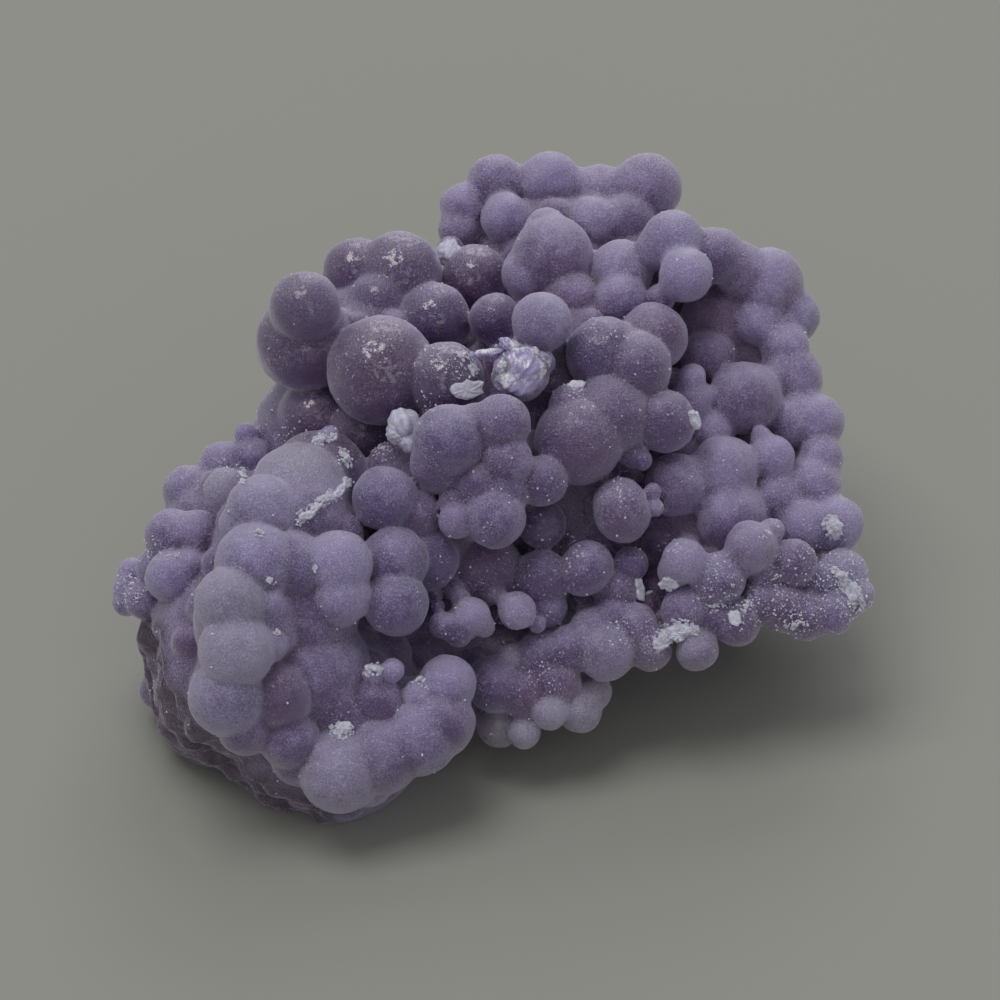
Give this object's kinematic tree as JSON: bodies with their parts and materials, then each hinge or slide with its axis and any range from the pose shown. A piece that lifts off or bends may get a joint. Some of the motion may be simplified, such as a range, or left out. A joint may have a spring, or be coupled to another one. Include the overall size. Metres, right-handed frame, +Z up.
{
  "type": "botryoidal chalcedony specimen",
  "caption": "Mauve grape-like chalcedony: a rough lump of fused round grapes of quartz with a frosted skin, flat underneath.",
  "frame": {"origin": "middle of the specimen's outline seen from above, at the level of its flat base", "axes": "+Z up from the flat base, +X along the longest side, -Y towards the viewer of the picture"},
  "size_m": [0.0477, 0.0452, 0.0283],
  "materials": {
    "mauve_chalcedony": "translucent mauve quartz with a frosted skin, paler on top and at the rims, deep purple in the gaps"
  },
  "bodies": {
    "root": {"chalcedony": "mauve_chalcedony"}
  },
  "joints": []
}
